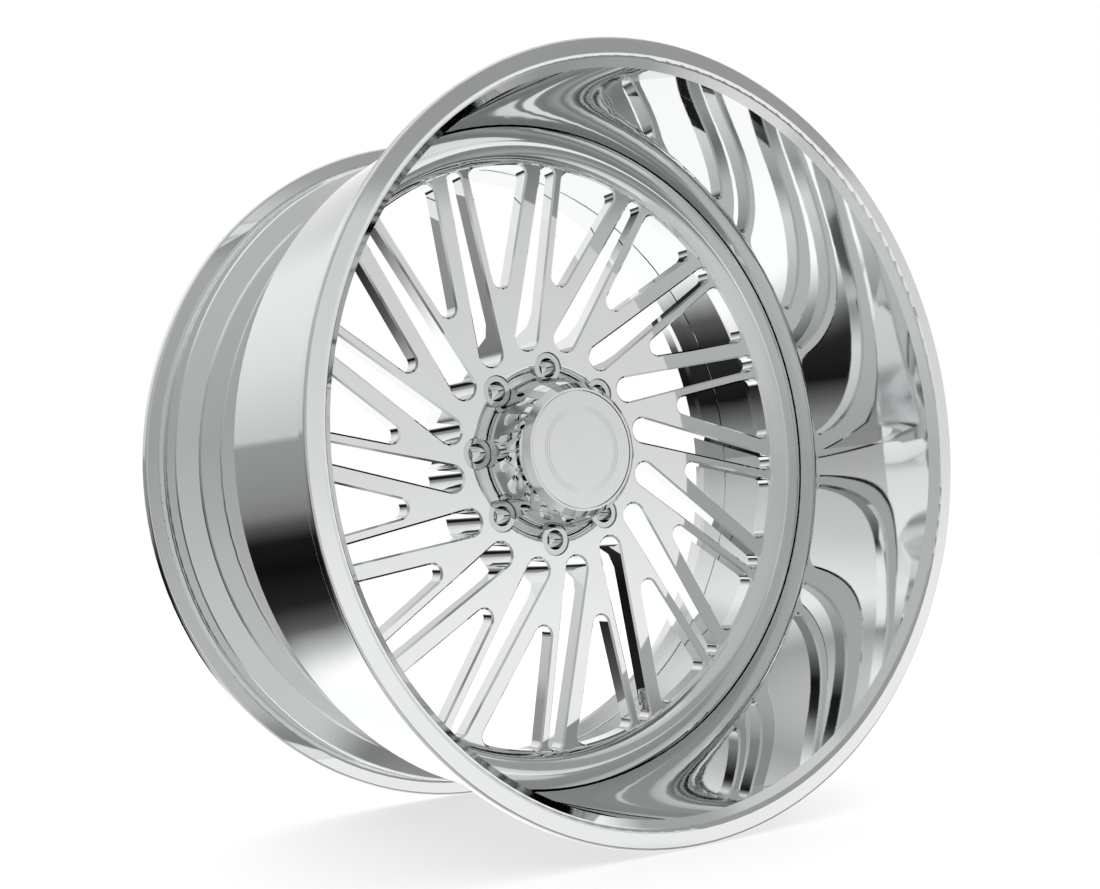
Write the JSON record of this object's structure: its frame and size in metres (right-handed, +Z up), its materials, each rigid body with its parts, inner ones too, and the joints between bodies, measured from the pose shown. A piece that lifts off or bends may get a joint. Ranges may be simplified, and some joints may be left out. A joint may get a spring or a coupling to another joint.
{
  "type": "forged truck wheel rim",
  "caption": "Deep-lip forged alloy wheel rim with raked spokes, slots and windows, sleeved lug holes, a screwed-on centre cap tower and a clamp-in valve.",
  "frame": {"origin": "centre of the wheel on its axis, midway between the two rim flanges' outer faces", "axes": "+Y along the wheel's axis from the show face to the vehicle side, +Z up through a lug hole, +X right seen from the front"},
  "size_m": [0.7002, 0.3786, 0.7002],
  "materials": {
    "polished_forging": "mirror polished",
    "machined_alloy": "fine turned",
    "turned_inlay": "polished with turned rings",
    "weld_metal": "as welded",
    "bright_steel": "fine brushed",
    "dark_steel": "blackened",
    "plated_brass": "nickel plated",
    "raw_brass": "satin",
    "black_rubber": "matt"
  },
  "bodies": {
    "wheel": {"rim_barrel": "polished_forging", "centre_forging": "polished_forging", "weld_bead": "weld_metal", "lug_sleeves": "machined_alloy", "cap_carrier": "machined_alloy", "cap_carrier_screws": "dark_steel", "cap_tower": "polished_forging", "cap_screws": "bright_steel", "cap_rim": "polished_forging", "cap_oring": "black_rubber", "cap_inlay": "turned_inlay", "valve_stem": "plated_brass", "valve_grommet": "black_rubber", "valve_washer": "bright_steel", "valve_nut": "plated_brass", "valve_core_body": "raw_brass", "valve_core_spring": "bright_steel"},
    "valve_pin": {"valve_core_pin": "raw_brass", "valve_core_seal": "black_rubber"},
    "valve_dust_cap": {"valve_cap": "machined_alloy", "valve_cap_seal": "black_rubber"}
  },
  "joints": [
    {"name": "valve_pin_press", "type": "slide", "parent": "wheel", "child": "valve_pin", "axis": [0.2079, 0, -0.9781], "range_m": [0, 0.0015], "stiffness_N_per_m": 1500, "springref_m": -0.001, "deforming": ["valve_core_spring"]},
    {"name": "valve_cap_off", "type": "slide", "parent": "wheel", "child": "valve_dust_cap", "axis": [-0.2079, 0, 0.9781], "range_m": [0, 0.014]}
  ]
}
